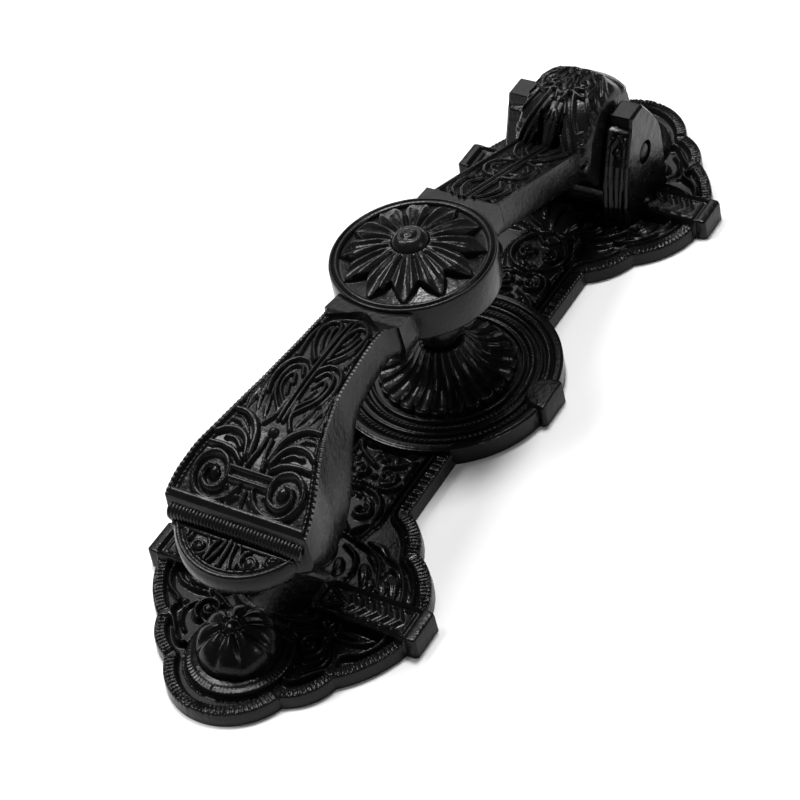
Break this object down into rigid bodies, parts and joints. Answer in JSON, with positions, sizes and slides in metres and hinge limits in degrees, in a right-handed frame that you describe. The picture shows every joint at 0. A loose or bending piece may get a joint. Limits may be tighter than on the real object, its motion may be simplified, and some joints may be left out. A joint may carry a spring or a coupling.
{
  "type": "door knocker",
  "caption": "Ornate cast-iron door knocker with a shaped backplate, hinge ears, an anvil dome and a swinging arm with a flower medallion and curved handle.",
  "frame": {"origin": "middle of the backplate's flat back face", "axes": "+Z out of the door, +Y along the plate towards the hinge, +X across the plate"},
  "size_m": [0.059, 0.1832, 0.0434],
  "materials": {
    "plate_iron": "satin black paint",
    "arm_iron": "satin black paint",
    "pin_steel": "satin black paint",
    "stud_steel": "satin black paint"
  },
  "bodies": {
    "plate": {"backplate": "plate_iron", "hinge_pin": "pin_steel"},
    "arm": {"knocker_arm": "arm_iron", "striker_stud": "stud_steel"}
  },
  "joints": [
    {"name": "knocker_swing", "type": "hinge", "parent": "plate", "child": "arm", "pos_m": [0, 0.0614, 0.0152], "axis": [-1, 0, 0], "range_deg": [0, 70]}
  ]
}
